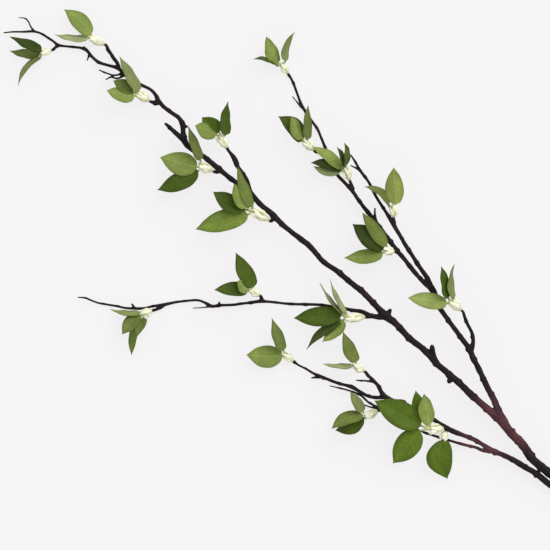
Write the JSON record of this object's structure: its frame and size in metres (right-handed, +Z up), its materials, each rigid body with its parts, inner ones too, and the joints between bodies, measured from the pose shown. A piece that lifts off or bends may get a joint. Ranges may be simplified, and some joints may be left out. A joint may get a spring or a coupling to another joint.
{
  "type": "leafy branch",
  "caption": "Cut leafy branch lying flat: a thin crooked dark woody stem with forks and spurs, cream bud collars, and whorls of small pointed green leaves.",
  "frame": {"origin": "centre of the bounding box in plan, on the surface the branch lies on", "axes": "+X along the main stem towards its cut end, +Z up out of the surface, so the tips point to -X"},
  "size_m": [0.9501, 0.3546, 0.0442],
  "materials": {
    "bark": "dull dark bark",
    "collar": "matte cream bud scales",
    "leaf": "thin leaf with a faint wax sheen"
  },
  "bodies": {
    "root": {"wood": "bark", "collar_01": "collar", "collar_02": "collar", "collar_03": "collar", "collar_04": "collar", "collar_05": "collar", "collar_06": "collar", "collar_07": "collar", "collar_08": "collar", "collar_09": "collar", "collar_10": "collar", "collar_11": "collar", "collar_12": "collar", "collar_13": "collar", "collar_14": "collar", "collar_15": "collar", "collar_16": "collar", "collar_17": "collar", "collar_18": "collar", "collar_19": "collar", "collar_20": "collar", "leaves_01": "leaf", "leaves_02": "leaf", "leaves_03": "leaf", "leaves_04": "leaf", "leaves_05": "leaf", "leaves_06": "leaf", "leaves_07": "leaf", "leaves_08": "leaf", "leaves_09": "leaf", "leaves_10": "leaf", "leaves_11": "leaf", "leaves_12": "leaf", "leaves_13": "leaf", "leaves_14": "leaf", "leaves_15": "leaf", "leaves_16": "leaf", "leaves_17": "leaf", "leaves_18": "leaf", "leaves_19": "leaf", "leaves_20": "leaf"}
  },
  "joints": []
}
